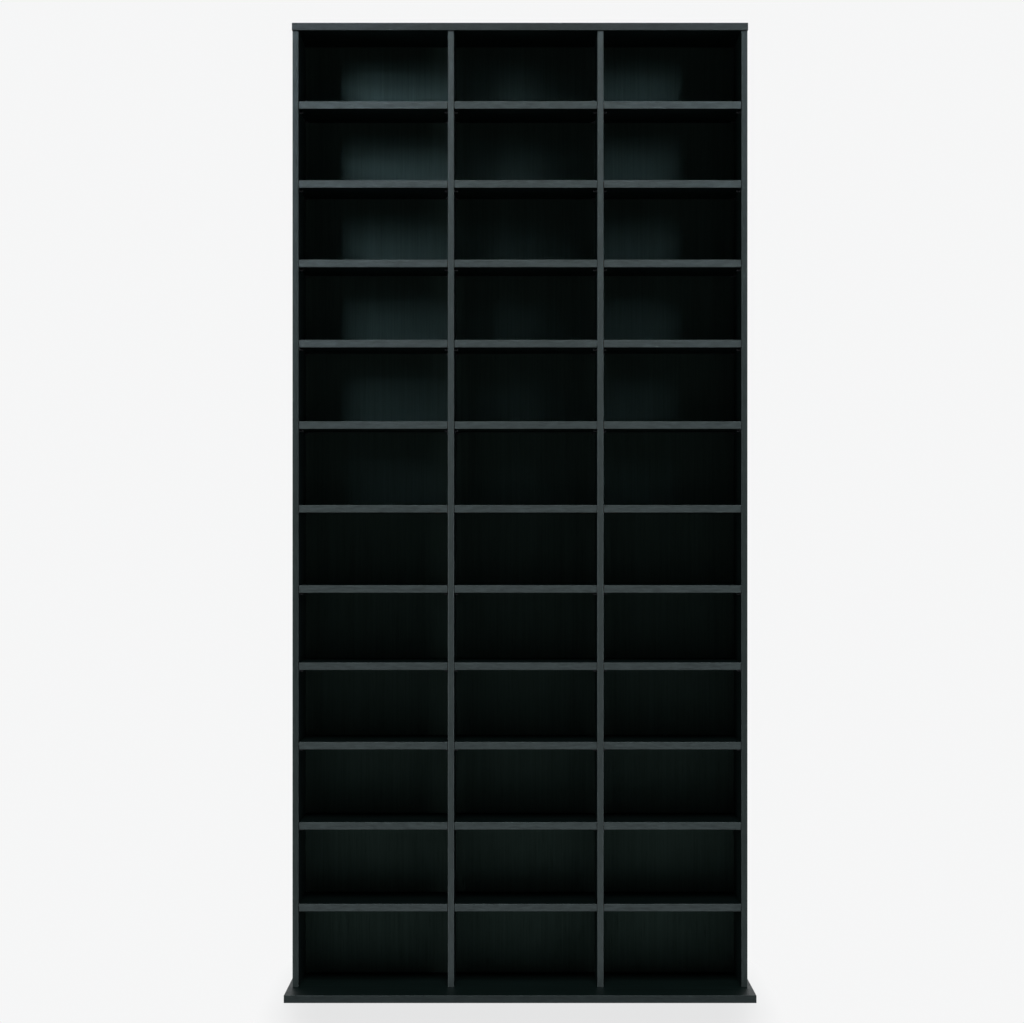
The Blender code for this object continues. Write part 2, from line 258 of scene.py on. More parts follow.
# Lamps: name, place, the point they look at, size, power, and their beam's spread in degrees
PLAIN_LIGHT = (1.0, 1.0, 1.0)
LAMPS = (
    ("ceiling", (0.0, -5.0, 8.0), (0.0, 0.0, 1.0), (3.0, 3.0), 570.0, 180.0),
    ("crown", (0.0, -2.60, 5.30), (0.0, -0.04, 1.72), (1.6, 0.5), 0.32, 5.0),
    ("fill_left", (-6.50, -2.70, 0.80), (0.0, 0.0, 0.95), (2.0, 2.0), 200.0, 180.0),
    ("fill_right", (6.50, -2.70, 0.80), (0.0, 0.0, 0.95), (2.0, 2.0), 170.0, 180.0),
)

# Banks of narrow lamps: their grid, then each bank's name, middle, the point it looks at, and
# the power of each row
PALE_BLUE = (0.94, 1.0, 1.22)
BANK_COLUMNS = 3
BANK_STEP = (0.44, 0.46)
BANK_LAMP = (0.40, 0.46)
BANK_SPREAD = 8.0
BANKS = (
    ("beam_left_high", (-2.355, -2.871, 3.159), (-0.35, 0.1, 1.88),
     (0.0065, 0.0234, 0.0471, 0.0130)),
    ("beam_left_low", (-2.355, -2.871, 2.649), (-0.35, 0.1, 1.37),
     (0.0022, 0.0116, 0.0163, 0.0116)),
    ("beam_right_high", (3.036, -2.839, 3.150), (0.36, 0.1, 1.88),
     (0.0098, 0.0230, 0.0306, 0.0049)),
    ("beam_right_low", (3.036, -2.839, 2.640), (0.36, 0.1, 1.37),
     (0.0008, 0.0089, 0.0116, 0.0046)),
)

# Camera
CAMERA_PLACE = (-0.016, -4.56, 0.918)
CAMERA_LENS = 79.2
CAMERA_SENSOR = 36.0
CAMERA_SHIFT = 0.02526
CAMERA_FAR = 100.0

# Places that the pieces share, read from the frame
TOP_LOW, TOP_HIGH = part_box("top_panel")
BASE_LOW, BASE_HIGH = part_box("base_panel")
REAR = TOP_HIGH.y
UPRIGHT_FRONT = TOP_LOW.y + TOP_FRONT_OVERHANG
BACK_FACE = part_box("back_left")[0].y
SCREW_PLACES = (UPRIGHT_FRONT + SCREW_FROM_EDGE, REAR - SCREW_FROM_EDGE)

# Ways to look, and ways to lie
FRONT = Vector((0, -1, 0))
LEFT = Vector((-1, 0, 0))
RIGHT = Vector((1, 0, 0))
UP = Vector((0, 0, 1))
DOWN = Vector((0, 0, -1))
LYING_ACROSS = Matrix.Rotation(math.pi / 2, 4, "Y")
UPSIDE_DOWN = Matrix.Rotation(math.pi, 4, "X")
TURNED_ROUND = Matrix.Rotation(math.pi, 4, "Z")
FACING_REAR = Matrix.Rotation(-math.pi / 2, 4, "X")
IN_PLACE = Matrix.Identity(4)


# Node trees
def new_material(name, metallic=0.0, specular=0.5, roughness=0.5):
    """Returns a material, its node tree and its shader."""
    material = bpy.data.materials.new(name)
    material.use_nodes = True
    tree = material.node_tree
    shader = tree.nodes["Principled BSDF"]
    shader.inputs["Metallic"].default_value = metallic
    shader.inputs["Specular IOR Level"].default_value = specular
    shader.inputs["Roughness"].default_value = roughness
    return material, tree, shader


def add_node(tree, kind, **values):
    """Adds a node, with the values of its properties."""
    node = tree.nodes.new(kind)
    for name, value in values.items():
        setattr(node, name, value)
    return node


def feed(tree, socket, value):
    """Links another node's value to a socket, or sets a plain value on it."""
    if isinstance(value, bpy.types.NodeSocket):
        tree.links.new(value, socket)
    else:
        socket.default_value = value


def noise(tree, pattern, axis="X"):
    """Returns the value of a pattern over the piece, its grain along an axis."""
    with_grain, across_grain, detail, roughness, distortion, shift = pattern
    where = add_node(tree, "ShaderNodeTexCoord")
    stretch = add_node(tree, "ShaderNodeMapping")
    stretch.inputs["Scale"].default_value = [with_grain if name == axis else across_grain
                                             for name in "XYZ"]
    stretch.inputs["Location"].default_value = shift
    feed(tree, stretch.inputs["Vector"], where.outputs["Object"])
    waves = add_node(tree, "ShaderNodeTexNoise")
    waves.inputs["Scale"].default_value = 1.0
    waves.inputs["Detail"].default_value = detail
    waves.inputs["Roughness"].default_value = roughness
    waves.inputs["Distortion"].default_value = distortion
    feed(tree, waves.inputs["Vector"], stretch.outputs["Vector"])
    return waves.outputs["Fac"]


def remap(tree, value, low, high, to_low=0.0, to_high=1.0):
    """Returns a value stretched from one range to another, and held within it."""
    node = add_node(tree, "ShaderNodeMapRange", clamp=True)
    node.inputs["From Min"].default_value = low
    node.inputs["From Max"].default_value = high
    node.inputs["To Min"].default_value = to_low
    node.inputs["To Max"].default_value = to_high
    feed(tree, node.inputs["Value"], value)
    return node.outputs["Result"]


def reckon(tree, operation, first, second):
    """Returns two values, or a value and a number, joined by an operation."""
    node = add_node(tree, "ShaderNodeMath", operation=operation)
    feed(tree, node.inputs[0], first)
    feed(tree, node.inputs[1], second)
    return node.outputs["Value"]


def blend(tree, first, second, share):
    """Returns the sum of the first value's share and the rest of the second."""
    return reckon(tree, "ADD", reckon(tree, "MULTIPLY", first, share),
                  reckon(tree, "MULTIPLY", second, 1 - share))


def colours(tree, value, *stops):
    """Returns a colour that runs through (place, colour) stops along a value."""
    ramp = add_node(tree, "ShaderNodeValToRGB")
    elements = ramp.color_ramp.elements
    while len(elements) < len(stops):
        elements.new(1.0)
    for element, (place, colour) in zip(elements, stops):
        element.position = place
        element.color = (*colour, 1.0)
    feed(tree, ramp.inputs["Fac"], value)
    return ramp.outputs["Color"]


def tones(colour, contrast, places):
    """Returns the stops of a colour that runs from darker to paler between two places."""
    return [(place, tuple(part * factor for part in colour))
            for place, factor in zip(places, (1 - contrast, 1 + contrast))]


def bump(tree, shader, height, distance):
    """Raises the surface by a value times a distance."""
    node = add_node(tree, "ShaderNodeBump")
    node.inputs["Distance"].default_value = distance
    feed(tree, node.inputs["Height"], height)
    feed(tree, shader.inputs["Normal"], node.outputs["Normal"])


# Materials
def make_face(name, axis, colour, tint, specular, roughness):
    """Makes a board's printed face, its fine grain along an axis."""
    material, tree, shader = new_material(name, specular=specular)
    shader.inputs["Specular Tint"].default_value = (*tint, 1.0)
    streaks = noise(tree, FACE_STREAKS, axis)
    bands = noise(tree, FACE_BANDS, axis)
    pores = remap(tree, noise(tree, FACE_PORES, axis), *PORE_VALUES)
    wear = remap(tree, noise(tree, FACE_WEAR), *WEAR_VALUES)
    grain = blend(tree, streaks, bands, FACE_STREAKS_SHARE)
    tone = reckon(tree, "SUBTRACT", grain, reckon(tree, "MULTIPLY", pores, PORE_DARKNESS))
    feed(tree, shader.inputs["Base Color"],
         colours(tree, tone, *tones(colour, FACE_CONTRAST, FACE_TONES)))
    rough = remap(tree, grain, *FACE_POLISH_VALUES, roughness + FACE_POLISH,
                  roughness - FACE_POLISH)
    rough = reckon(tree, "ADD", rough, reckon(tree, "MULTIPLY", pores, PORE_DULLNESS))
    feed(tree, shader.inputs["Roughness"], reckon(tree, "ADD", rough, wear))
    ridges = reckon(tree, "MULTIPLY", streaks, STREAK_RELIEF_SHARE)
    bump(tree, shader, reckon(tree, "SUBTRACT", ridges, pores), FACE_RELIEF)
    return material


def make_strip(name, axis, colour, specular, roughness):
    """Makes the satin grey of an edge strip, its grain along an axis."""
    material, tree, shader = new_material(name, specular=specular)
    shader.inputs["Specular Tint"].default_value = (*STRIP_TINT, 1.0)
    streaks = noise(tree, STRIP_STREAKS, axis)
    mottle = noise(tree, STRIP_MOTTLE, axis)
    tone = blend(tree, streaks, mottle, STRIP_STREAKS_SHARE)
    feed(tree, shader.inputs["Base Color"],
         colours(tree, tone, *tones(colour, STRIP_CONTRAST, STRIP_TONES)))
    feed(tree, shader.inputs["Roughness"],
         remap(tree, tone, *MIDDLE_VALUES, roughness + STRIP_POLISH, roughness - STRIP_POLISH))
    bump(tree, shader, streaks, STRIP_RELIEF)
    return material


def make_chipboard():
    """Makes the raw edge of a particle board: pale chips in brown, with dark specks."""
    material, tree, shader = new_material("raw_chipboard", specular=CHIPBOARD_SPECULAR)
    where = add_node(tree, "ShaderNodeTexCoord")
    chips = add_node(tree, "ShaderNodeTexVoronoi")
    chips.inputs["Scale"].default_value = CHIPS_A_METRE
    feed(tree, chips.inputs["Vector"], where.outputs["Object"])
    each = add_node(tree, "ShaderNodeSeparateColor")
    feed(tree, each.inputs["Color"], chips.outputs["Color"])
    grit = noise(tree, CHIPBOARD_GRIT)
    tone = blend(tree, each.outputs["Red"], grit, CHIPS_SHARE)
    feed(tree, shader.inputs["Base Color"], colours(tree, tone, *CHIPBOARD_COLOURS))
    feed(tree, shader.inputs["Roughness"],
         remap(tree, grit, *MIDDLE_VALUES, *CHIPBOARD_ROUGHNESS))
    bump(tree, shader, tone, CHIPBOARD_RELIEF)
    return material


def make_hardboard():
    """Makes the raw rear of a back: brown pressed fibre with soft clouds."""
    material, tree, shader = new_material("raw_hardboard", specular=HARDBOARD_SPECULAR)
    fibre = noise(tree, HARDBOARD_FIBRE)
    tone = blend(tree, fibre, noise(tree, HARDBOARD_CLOUDS), FIBRE_SHARE)
    feed(tree, shader.inputs["Base Color"], colours(tree, tone, *HARDBOARD_COLOURS))
    feed(tree, shader.inputs["Roughness"],
         remap(tree, fibre, *MIDDLE_VALUES, *HARDBOARD_ROUGHNESS))
    bump(tree, shader, fibre, HARDBOARD_RELIEF)
    return material


def make_metal(name, dark, pale, roughness, spread, waves):
    """Makes a metal whose tone and polish vary a little."""
    material, tree, shader = new_material(name, metallic=1.0)
    grain = noise(tree, (waves, waves, *METAL_GRAIN))
    feed(tree, shader.inputs["Base Color"],
         colours(tree, grain, *zip(MIDDLE_VALUES, (dark, pale))))
    feed(tree, shader.inputs["Roughness"],
         remap(tree, grain, *MIDDLE_VALUES, roughness + spread, roughness - spread))
    bump(tree, shader, grain, METAL_RELIEF)
    return material


def make_materials():
    """Returns every material of the object by name."""
    materials = {"chipboard": make_chipboard(), "hardboard": make_hardboard()}
    for kind, finish in FACES.items():
        materials[kind + "_face"] = make_face("black_face_" + kind, *finish)
    for kind, finish in STRIPS.items():
        materials[kind + "_strip"] = make_strip("grey_strip_" + kind, *finish)
    for kind, finish in METALS.items():
        materials[kind] = make_metal(*finish)
    return materials


# Meshes
def box_between(low, high, material=0):
    """Returns a box between two corners."""
    bm = bmesh.new()
    bmesh.ops.create_cube(bm, size=1.0)
    bmesh.ops.scale(bm, vec=Vector(high) - Vector(low), verts=bm.verts)
    bmesh.ops.translate(bm, vec=(Vector(low) + Vector(high)) / 2, verts=bm.verts)
    for face in bm.faces:
        face.material_index = material
    return bm


def prism(outline, low, high):
    """Returns an outline of (x, y) points, anticlockwise from above, drawn up along Z."""
    bm = bmesh.new()
    lower = [bm.verts.new((x, y, low)) for x, y in outline]
    upper = [bm.verts.new((x, y, high)) for x, y in outline]
    bm.faces.new(reversed(lower))
    bm.faces.new(upper)
    for k in range(len(outline)):
        n = (k + 1) % len(outline)
        bm.faces.new((lower[k], lower[n], upper[n], upper[k]))
    bm.normal_update()
    return bm


def turned(profile, sides, material=0):
    """Returns an outline of (radius, height) points, from the top down, turned round Z."""
    bm = bmesh.new()
    rings = []
    for radius, height in profile:
        count = sides if radius > 0 else 1
        rings.append([bm.verts.new((radius * math.cos(2 * math.pi * k / sides),
                                    radius * math.sin(2 * math.pi * k / sides), height))
                      for k in range(count)])
    for upper, lower in zip(rings, rings[1:]):
        for k in range(sides):
            n = k + 1
            corners = [upper[k % len(upper)], lower[k % len(lower)],
                       lower[n % len(lower)], upper[n % len(upper)]]
            face = bm.faces.new(dict.fromkeys(corners))
            face.material_index = material
    bm.normal_update()
    return bm


def ease(bm, edges, width, segments=1):
    """Rounds some edges of a mesh."""
    bmesh.ops.bevel(bm, geom=list(edges), offset=width, segments=segments,
                    profile=ROUND_PROFILE, affect="EDGES", clamp_overlap=True)


def looks(face, way):
    """Tells whether a face looks a way."""
    return face.normal.dot(way) > FACING


def raw_except(bm, *ways):
    """Gives the raw material, the second one, to the faces that look none of the ways."""
    for face in bm.faces:
        if not any(looks(face, way) for way in ways):
            face.material_index = 1


def to_mesh(bm, name, materials):
    """Turns a working mesh into a lasting one, smooth across its shallow edges."""
    mesh = bpy.data.meshes.new(name)
    bm.to_mesh(mesh)
    bm.free()
    for material in materials:
        mesh.materials.append(material)
    mesh.shade_smooth()
    mesh.set_sharp_from_angle(angle=SMOOTH_ANGLE)
    return mesh


def cut_out(mesh, cutters):
    """Cuts shapes out of a mesh. A cut face has its cutter's material."""
    obj = bpy.data.objects.new("being_cut", mesh)
    bpy.context.scene.collection.objects.link(obj)
    helpers = bpy.data.collections.new("cutters")
    for number, bm in enumerate(cutters):
        cutter_mesh = to_mesh(bm, f"cutter_{number}", mesh.materials)
        helpers.objects.link(bpy.data.objects.new(f"cutter_{number}", cutter_mesh))
    boolean = obj.modifiers.new("cut", "BOOLEAN")
    boolean.operation = "DIFFERENCE"
    boolean.operand_type = "COLLECTION"
    boolean.collection = helpers
    boolean.solver = "EXACT"
    depsgraph = bpy.context.evaluated_depsgraph_get()
    done = bpy.data.meshes.new_from_object(obj.evaluated_get(depsgraph))
    done.name = mesh.name
    for helper in [obj, *helpers.objects]:
        bpy.data.objects.remove(helper, do_unlink=True)
    bpy.data.collections.remove(helpers)
    done.shade_smooth()
    done.set_sharp_from_angle(angle=SMOOTH_ANGLE)
    return done


# Pieces
def add_piece(name, mesh, body, replaced=(), place=IN_PLACE):
    """Adds a piece that rides on a body."""
    piece = bpy.data.objects.new(name, mesh)
    piece.matrix_world = place
    bpy.context.scene.collection.objects.link(piece)
    if replaced:
        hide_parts(*replaced)
    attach(piece, body)
    return piece


def add_copies(name, mesh, places):
    """Adds a copy of a mesh at each place, all together one piece of the carcass."""
    bm = bmesh.new()
    for place in places:
        known = len(bm.verts)
        bm.from_mesh(mesh)
        bm.verts.ensure_lookup_table()
        bmesh.ops.transform(bm, matrix=place, verts=bm.verts[known:])
    add_piece(name, to_mesh(bm, name, mesh.materials), "carcass")


def add_strip(name, low, high, way, material, body):
    """Adds an edge strip that looks a way, with its outer edges rounded."""
    bm = box_between(low, high)
    outer = [edge for edge in bm.edges if any(looks(face, way) for face in edge.link_faces)]
    ease(bm, outer, STRIP_RADIUS, STRIP_SEGMENTS)
    piece = add_piece(name, to_mesh(bm, name, [material]), body)
    fair = piece.modifiers.new("fair_shading", "WEIGHTED_NORMAL")
    fair.keep_sharp = True


# Boards
def across():
    """Returns the uprights' and the bays' spans along X, from left to right."""
    uprights = {}
    for name in ("side_left", "divider_left", "divider_right", "side_right"):
        low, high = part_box(name)
        left = (low.x + high.x - UPRIGHT_THICKNESS) / 2
        if name == "side_left":
            left = low.x
        elif name == "side_right":
            left = high.x - UPRIGHT_THICKNESS
        uprights[name] = (left, left + UPRIGHT_THICKNESS)
    spans = list(uprights.values())
    bays = {bay: (before[1], after[0])
            for bay, before, after in zip(("left", "middle", "right"), spans, spans[1:])}
    return uprights, bays


def add_shelf(bay, row, materials):
    """Adds a shelf: its core, with cam seats in the fixed row, and its front strip."""
    name = f"shelf_{bay}_{row:02d}"
    body = "carcass" if row == FIXED_ROW else name
    low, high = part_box(name)
    core_front = low.y + STRIP_THICKNESS + STRIP_GLUE
    bm = box_between((low.x, core_front, low.z), high)
    raw_except(bm, UP, DOWN)
    ease(bm, bm.edges, CORE_EASE)
    mesh = to_mesh(bm, name + "_core", [materials["level_face"], materials["chipboard"]])
    if row == FIXED_ROW:
        mesh = cut_out(mesh, cam_seats(low, high))
    add_piece(name + "_core", mesh, body, [name])
    add_strip(name + "_front_strip", low, (high.x, low.y + STRIP_THICKNESS, high.z), FRONT,
              materials["shelf_strip"], body)


def add_upright(name, left, right, materials):
    """Adds an upright: its core, with the seats of the backs, and its front strip."""
    low = BASE_HIGH.z + FIT_GAP
    high = TOP_LOW.z - FIT_GAP
    core_front = UPRIGHT_FRONT + STRIP_THICKNESS + STRIP_GLUE
    seat = BACK_FACE - FIT_GAP
    right_seat = right - SEAT_REACH if name != "side_right" else right
    left_seat = left + SEAT_REACH if name != "side_left" else left
    outline = [(left, core_front), (right, core_front)]
    if name != "side_right":
        outline += [(right, seat), (right_seat, seat)]
    outline += [(right_seat, REAR), (left_seat, REAR)]
    if name != "side_left":
        outline += [(left_seat, seat), (left, seat)]
    bm = prism(outline, low, high)
    raw_except(bm, LEFT, RIGHT)
    for face in bm.faces:
        if face.calc_center_median().y > seat:
            face.material_index = 1
    ease(bm, bm.edges, CORE_EASE)
    mesh = to_mesh(bm, name + "_core", [materials["upright_face"], materials["chipboard"]])
    add_piece(name + "_core", mesh, "carcass", [name])
    # The side and divider strips take their darker colours, painted shade
    kind = name.split("_")[0]
    add_strip(name + "_front_strip", (left, UPRIGHT_FRONT, low),
              (right, UPRIGHT_FRONT + STRIP_THICKNESS, high), FRONT,
              materials[kind + "_strip"], "carcass")


def add_end_board(kind, low, high, bays, uprights, materials):
    """Adds the top or the base: its core, cut for backs and screws, and three strips."""
    name = kind + "_panel"
    is_top = kind == "top"
    edge = STRIP_THICKNESS + STRIP_GLUE
    bm = box_between((low.x + edge, low.y + edge, low.z), (high.x - edge, high.y, high.z))
    raw_except(bm, UP, DOWN)
    ease(bm, bm.edges, CORE_EASE)
    # The base takes its paler face, painted light on its top
    face = materials["level_face" if is_top else "base_face"]
    mesh = to_mesh(bm, name + "_core", [face, materials["chipboard"]])
    cutters = []
    for left, right in bays.values():
        seat_low, seat_high = (low.z - OVERCUT, low.z + SEAT_REACH) if is_top else (
            high.z - SEAT_REACH, high.z + OVERCUT)
        cutters.append(box_between((left - SEAT_REACH, BACK_FACE - FIT_GAP, seat_low),
                                   (right + SEAT_REACH, REAR + OVERCUT, seat_high), 1))
    for place in screw_places(uprights, is_top):
        hole = screw_hole()
        bmesh.ops.transform(hole, matrix=place, verts=hole.verts)
        cutters.append(hole)
    add_piece(name + "_core", cut_out(mesh, cutters), "carcass", [name])
    inner = low.y + STRIP_THICKNESS
    strips = (("front", low, (high.x, inner, high.z), FRONT),
              ("left", (low.x, inner, low.z), (low.x + STRIP_THICKNESS, high.y, high.z), LEFT),
              ("right", (high.x - STRIP_THICKNESS, inner, low.z), high, RIGHT))
    # The top and base strips take darker colours, painted shade
    for side, strip_low, strip_high, way in strips:
        add_strip(f"{name}_{side}_strip", strip_low, strip_high, way, materials[kind + "_strip"],
                  "carcass")


def add_back(bay, materials):
    """Adds a back, grained in front and raw behind, and the nails round its edges."""
    name = "back_" + bay
    low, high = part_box(name)
    rear = high.y - BACK_INSET
    bm = box_between(low, (high.x, rear, high.z))
    raw_except(bm, FRONT)
    ease(bm, bm.edges, CORE_EASE)
    mesh = to_mesh(bm, name + "_panel", [materials["back_face"], materials["hardboard"]])
    add_piece(name + "_panel", mesh, "carcass", [name])
    profile = ((0.0, BACK_INSET),
               (NAIL_RADIUS * NAIL_CROWN_RADIUS, BACK_INSET * NAIL_CROWN_HEIGHT),
               (NAIL_RADIUS, BACK_INSET * NAIL_RIM_HEIGHT), (NAIL_RADIUS, -BACK_INSET),
               (0.0, -BACK_INSET))
    head = to_mesh(turned(profile, NAIL_SIDES), "nail_head", [materials["nail"]])
    left, right = low.x + NAIL_FROM_EDGE, high.x - NAIL_FROM_EDGE
    bottom, top = low.z + NAIL_FROM_EDGE, high.z - NAIL_FROM_EDGE
    rows = round((top - bottom) / NAIL_SPACING)
    columns = round((right - left) / NAIL_SPACING)
    spots = [(x, bottom + (top - bottom) * k / rows) for k in range(rows + 1)
             for x in (left, right)]
    spots += [(left + (right - left) * k / columns, z) for k in range(1, columns)
              for z in (bottom, top)]
    places = [Matrix.Translation((x, rear, z)) @ FACING_REAR for x, z in spots]
    add_copies("nails_" + bay, head, places)


# Screws
def screw_hole():
    """Returns the cutter of a countersunk screw's hole, its head's top at the height 0."""
    head = SCREW_HEAD_RADIUS + FIT_GAP
    shank = SCREW_RADIUS + FIT_GAP
    profile = ((0.0, OVERCUT), (head, OVERCUT), (head, 0.0), (shank, -SCREW_HEAD_HEIGHT),
               (shank, SCREW_END), (0.0, SCREW_END))
    return turned(profile, SCREW_SIDES, 1)


def screw_places(uprights, is_top):
    """Returns the places of the screws through the top or the base."""
    height = TOP_HIGH.z - SCREW_RECESS if is_top else SCREW_RECESS
    lie = IN_PLACE if is_top else UPSIDE_DOWN
    return [Matrix.Translation(((left + right) / 2, y, height)) @ lie
            for left, right in uprights.values() for y in SCREW_PLACES]


def cross_cutters(length, width, depth, height, lie):
    """Returns the cutters of a cross recess, two tapered arms sunk in from a height."""
    cutters = []
    for turn in (0.0, math.pi / 2):
        bm = box_between((-length / 2, -width / 2, -depth), (length / 2, width / 2, OVERCUT))
        for vert in bm.verts:
            if vert.co.z < 0:
                vert.co.x *= CROSS_TAPER
                vert.co.y *= CROSS_TAPER
        place = Matrix.Translation((0, 0, height)) @ Matrix.Rotation(turn, 4, "Z") @ lie
        bmesh.ops.transform(bm, matrix=place, verts=bm.verts)
        cutters.append(bm)
    return cutters


def add_screws(uprights, materials):
    """Adds the screws through the top and through the base, each group one piece."""
    profile = ((0.0, 0.0), (SCREW_HEAD_RADIUS - SCREW_RIM, 0.0), (SCREW_HEAD_RADIUS, -SCREW_RIM),
               (SCREW_RADIUS, -SCREW_HEAD_HEIGHT), (SCREW_RADIUS, SCREW_END), (0.0, SCREW_END))
    screw = to_mesh(turned(profile, SCREW_SIDES), "screw", [materials["screw"]])
    screw = cut_out(screw, cross_cutters(SCREW_CROSS_LENGTH, SCREW_CROSS_WIDTH,
                                         SCREW_CROSS_DEPTH, 0.0, IN_PLACE))
    for kind in ("top", "base"):
        add_copies("screws_" + kind, screw, screw_places(uprights, kind == "top"))


# Pins and bolts
def rounded_end(reach):
    """Returns the outline of a pin's rounded end, from its middle to its side."""
    points = [(0.0, reach)]
    for k in range(PIN_ROUND_STEPS + 1):
        angle = math.pi / 2 * k / PIN_ROUND_STEPS
        points.append((PIN_RADIUS - PIN_ROUND + PIN_ROUND * math.sin(angle),
                       reach - PIN_ROUND + PIN_ROUND * math.cos(angle)))
    return points


def add_rods(kind, upright, shown, hidden, sides, spots, material):
    """Adds an upright's rods as one piece. They end inside a side board, out of sight."""
    name, (left, right) = upright
    upper = hidden if name == "side_right" else shown
    lower = hidden if name == "side_left" else shown
    profile = upper + [(radius, -height) for radius, height in reversed(lower)]
    rod = to_mesh(turned(profile, sides), kind, [material])
    places = [Matrix.Translation(((left + right) / 2, y, z)) @ LYING_ACROSS for y, z in spots]
    add_copies(f"{kind}s_{name}", rod, places)


def add_pins(upright, material):
    """Adds the shelf pins of an upright: through a divider, or into a side board."""
    half = UPRIGHT_THICKNESS / 2
    collar = half + COLLAR_THICKNESS
    shown = rounded_end(half + PIN_REACH) + [
        (PIN_RADIUS, collar), (COLLAR_RADIUS - COLLAR_RIM, collar),
        (COLLAR_RADIUS, collar - COLLAR_RIM), (COLLAR_RADIUS, half), (PIN_RADIUS, half)]
    spots = []
    for row in range(1, SHELF_COUNT + 1):
        low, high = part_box(f"shelf_left_{row:02d}")
        if row != FIXED_ROW:
            spots += [(low.y + PIN_FROM_FRONT, low.z - PIN_DROP),
                      (high.y - PIN_FROM_REAR, low.z - PIN_DROP)]
    add_rods("pin", upright, shown, rounded_end(half - PIN_SKIN), PIN_SIDES, spots, material)


def add_bolts(upright, material):
    """Adds the cam bolts of an upright, with a head in each fixed shelf beside it."""
    low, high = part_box(f"shelf_left_{FIXED_ROW:02d}")
    half = UPRIGHT_THICKNESS / 2
    reach = half + SHELF_END_PLAY + CAM_REACH + BOLT_HEAD_LENGTH / 2
    neck = reach - BOLT_HEAD_LENGTH
    rim = BOLT_HEAD_RADIUS - BOLT_HEAD_RIM
    shown = [(0.0, reach), (rim, reach), (BOLT_HEAD_RADIUS, reach - BOLT_HEAD_RIM),
             (BOLT_HEAD_RADIUS, neck + BOLT_HEAD_RIM), (rim, neck), (BOLT_RADIUS, neck)]
    hidden = [(0.0, half - PIN_SKIN), (BOLT_RADIUS, half - PIN_SKIN)]
    spots = [(low.y + CAM_FROM_FRONT, low.z + BOLT_HEIGHT),
             (high.y - CAM_FROM_REAR, low.z + BOLT_HEIGHT)]
    add_rods("bolt", upright, shown, hidden, BOLT_SIDES, spots, material)


# Cam locks
def cam_spots(low, high):
    """Returns a fixed shelf's cam locks: (end, spot, x, y, way to the end)."""
    ends = (("left", low.x + CAM_REACH, -1), ("right", high.x - CAM_REACH, 1))
    spots = (("front", low.y + CAM_FROM_FRONT), ("rear", high.y - CAM_FROM_REAR))
    return [(end, spot, x, y, toward) for end, x, toward in ends for spot, y in spots]


def cam_seats(low, high):
    """Returns the cutters of a fixed shelf's cam seats and bolt bores."""
    cutters = []
    bore = BOLT_HEAD_RADIUS + BOLT_BORE_PLAY
    length = CAM_REACH + OVERCUT
    for _, _, x, y, toward in cam_spots(low, high):
        seat = turned(((0.0, CAM_HEIGHT), (CAM_RADIUS, CAM_HEIGHT), (CAM_RADIUS, -OVERCUT),
                       (0.0, -OVERCUT)), CAM_SIDES, 1)
        bmesh.ops.translate(seat, vec=(x, y, low.z), verts=seat.verts)
        hole = turned(((0.0, length), (bore, length), (bore, 0.0), (0.0, 0.0)), BOLT_SIDES, 1)
        place = Matrix.Translation((x, y, low.z + BOLT_HEIGHT)) @ LYING_ACROSS
        if toward < 0:
            place = place @ UPSIDE_DOWN
        bmesh.ops.transform(hole, matrix=place, verts=hole.verts)
        cutters += [seat, hole]
    return cutters


def make_cam_mesh(material):
    """Returns a cam lock that stands on its cross recess, its slot towards -X."""
    outer = CAM_RADIUS - FIT_GAP
    inner = outer - CAM_WALL
    bottom, top = FIT_GAP, CAM_HEIGHT - FIT_GAP
    floor = BOLT_HEIGHT - BOLT_HEAD_RADIUS - FIT_GAP
    profile = ((0.0, floor), (inner, floor), (inner, top), (outer - CAM_RIM, top),
               (outer, top - CAM_RIM), (outer, bottom + CAM_RIM), (outer - CAM_RIM, bottom),
               (0.0, bottom))
    cam = to_mesh(turned(profile, CAM_SIDES), "cam", [material])
    half_slot = BOLT_RADIUS + FIT_GAP
    slot = box_between((-outer - OVERCUT, -half_slot, BOLT_HEIGHT - half_slot),
                       (0.0, half_slot, top + OVERCUT))
    crosses = cross_cutters(CROSS_LENGTH, CROSS_WIDTH, CROSS_DEPTH, bottom, UPSIDE_DOWN)
    return cut_out(cam, [slot, *crosses])


def add_cams(bay, mesh):
    """Adds the four cam locks of a fixed shelf."""
    low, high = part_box(f"shelf_{bay}_{FIXED_ROW:02d}")
    for end, spot, x, y, toward in cam_spots(low, high):
        name = f"cam_{bay}_{end}_{spot}"
        place = Matrix.Translation((x, y, low.z))
        if toward > 0:
            place = place @ TURNED_ROUND
        add_piece(name + "_lock", mesh, "carcass", [name], place)


